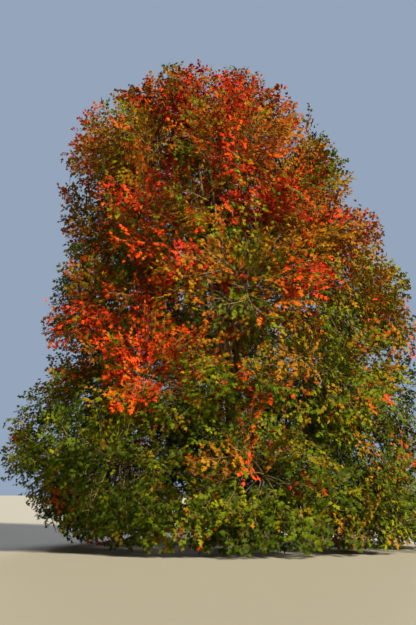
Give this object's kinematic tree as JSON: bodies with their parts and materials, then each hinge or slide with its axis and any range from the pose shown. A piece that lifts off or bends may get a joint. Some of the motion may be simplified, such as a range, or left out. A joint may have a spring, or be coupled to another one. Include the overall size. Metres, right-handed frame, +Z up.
{
  "type": "red maple tree",
  "caption": "Broad, round-topped maple in autumn leaf: flared trunk, rising stems, boughs in rings and foliage from the ground to the top, green below and red above.",
  "frame": {"origin": "centre of the flat cut under the trunk, at ground level", "axes": "+Z up the tree; the side seen in the picture faces -Y, with the crown's left at -X"},
  "size_m": [12.4718, 11.7663, 14.7852],
  "materials": {
    "bark": "rough, grey-brown bark",
    "leaves_green": "matt leaves, green",
    "leaves_olive": "matt leaves, olive to bronze",
    "leaves_orange": "matt leaves, orange",
    "leaves_red": "matt leaves, red"
  },
  "bodies": {
    "root": {"trunk": "bark", "stem_left": "bark", "stem_back": "bark", "stem_front": "bark", "bough_skirt_1": "bark", "bough_skirt_2": "bark", "bough_skirt_3": "bark", "bough_skirt_4": "bark", "bough_skirt_5": "bark", "bough_skirt_6": "bark", "bough_skirt_7": "bark", "bough_low_1": "bark", "bough_low_2": "bark", "bough_low_3": "bark", "bough_low_4": "bark", "bough_low_5": "bark", "bough_low_6": "bark", "bough_middle_1": "bark", "bough_middle_2": "bark", "bough_middle_3": "bark", "bough_middle_4": "bark", "bough_middle_5": "bark", "bough_middle_6": "bark", "foliage_skirt_1": "leaves_green", "foliage_skirt_2": "leaves_green", "foliage_skirt_3": "leaves_green", "foliage_skirt_4": "leaves_green", "foliage_skirt_5": "leaves_green", "foliage_skirt_6": "leaves_green", "foliage_skirt_7": "leaves_green", "foliage_low_1": "leaves_olive", "foliage_low_2": "leaves_olive", "foliage_low_3": "leaves_olive", "foliage_low_4": "leaves_olive", "foliage_low_5": "leaves_olive", "foliage_low_6": "leaves_olive", "foliage_middle_1": "leaves_orange", "foliage_middle_2": "leaves_orange", "foliage_middle_3": "leaves_orange", "foliage_middle_4": "leaves_orange", "foliage_middle_5": "leaves_orange", "foliage_middle_6": "leaves_orange", "foliage_upper_1": "leaves_orange", "foliage_upper_2": "leaves_orange", "foliage_upper_3": "leaves_orange", "foliage_upper_4": "leaves_orange", "foliage_upper_5": "leaves_orange", "foliage_upper_6": "leaves_orange", "foliage_shoulder_1": "leaves_red", "foliage_shoulder_2": "leaves_red", "foliage_shoulder_3": "leaves_red", "foliage_shoulder_4": "leaves_red", "foliage_shoulder_5": "leaves_red", "foliage_shoulder_6": "leaves_red", "foliage_top_trunk": "leaves_red", "foliage_top_left": "leaves_red", "foliage_top_back": "leaves_red", "foliage_top_front": "leaves_red"}
  },
  "joints": []
}
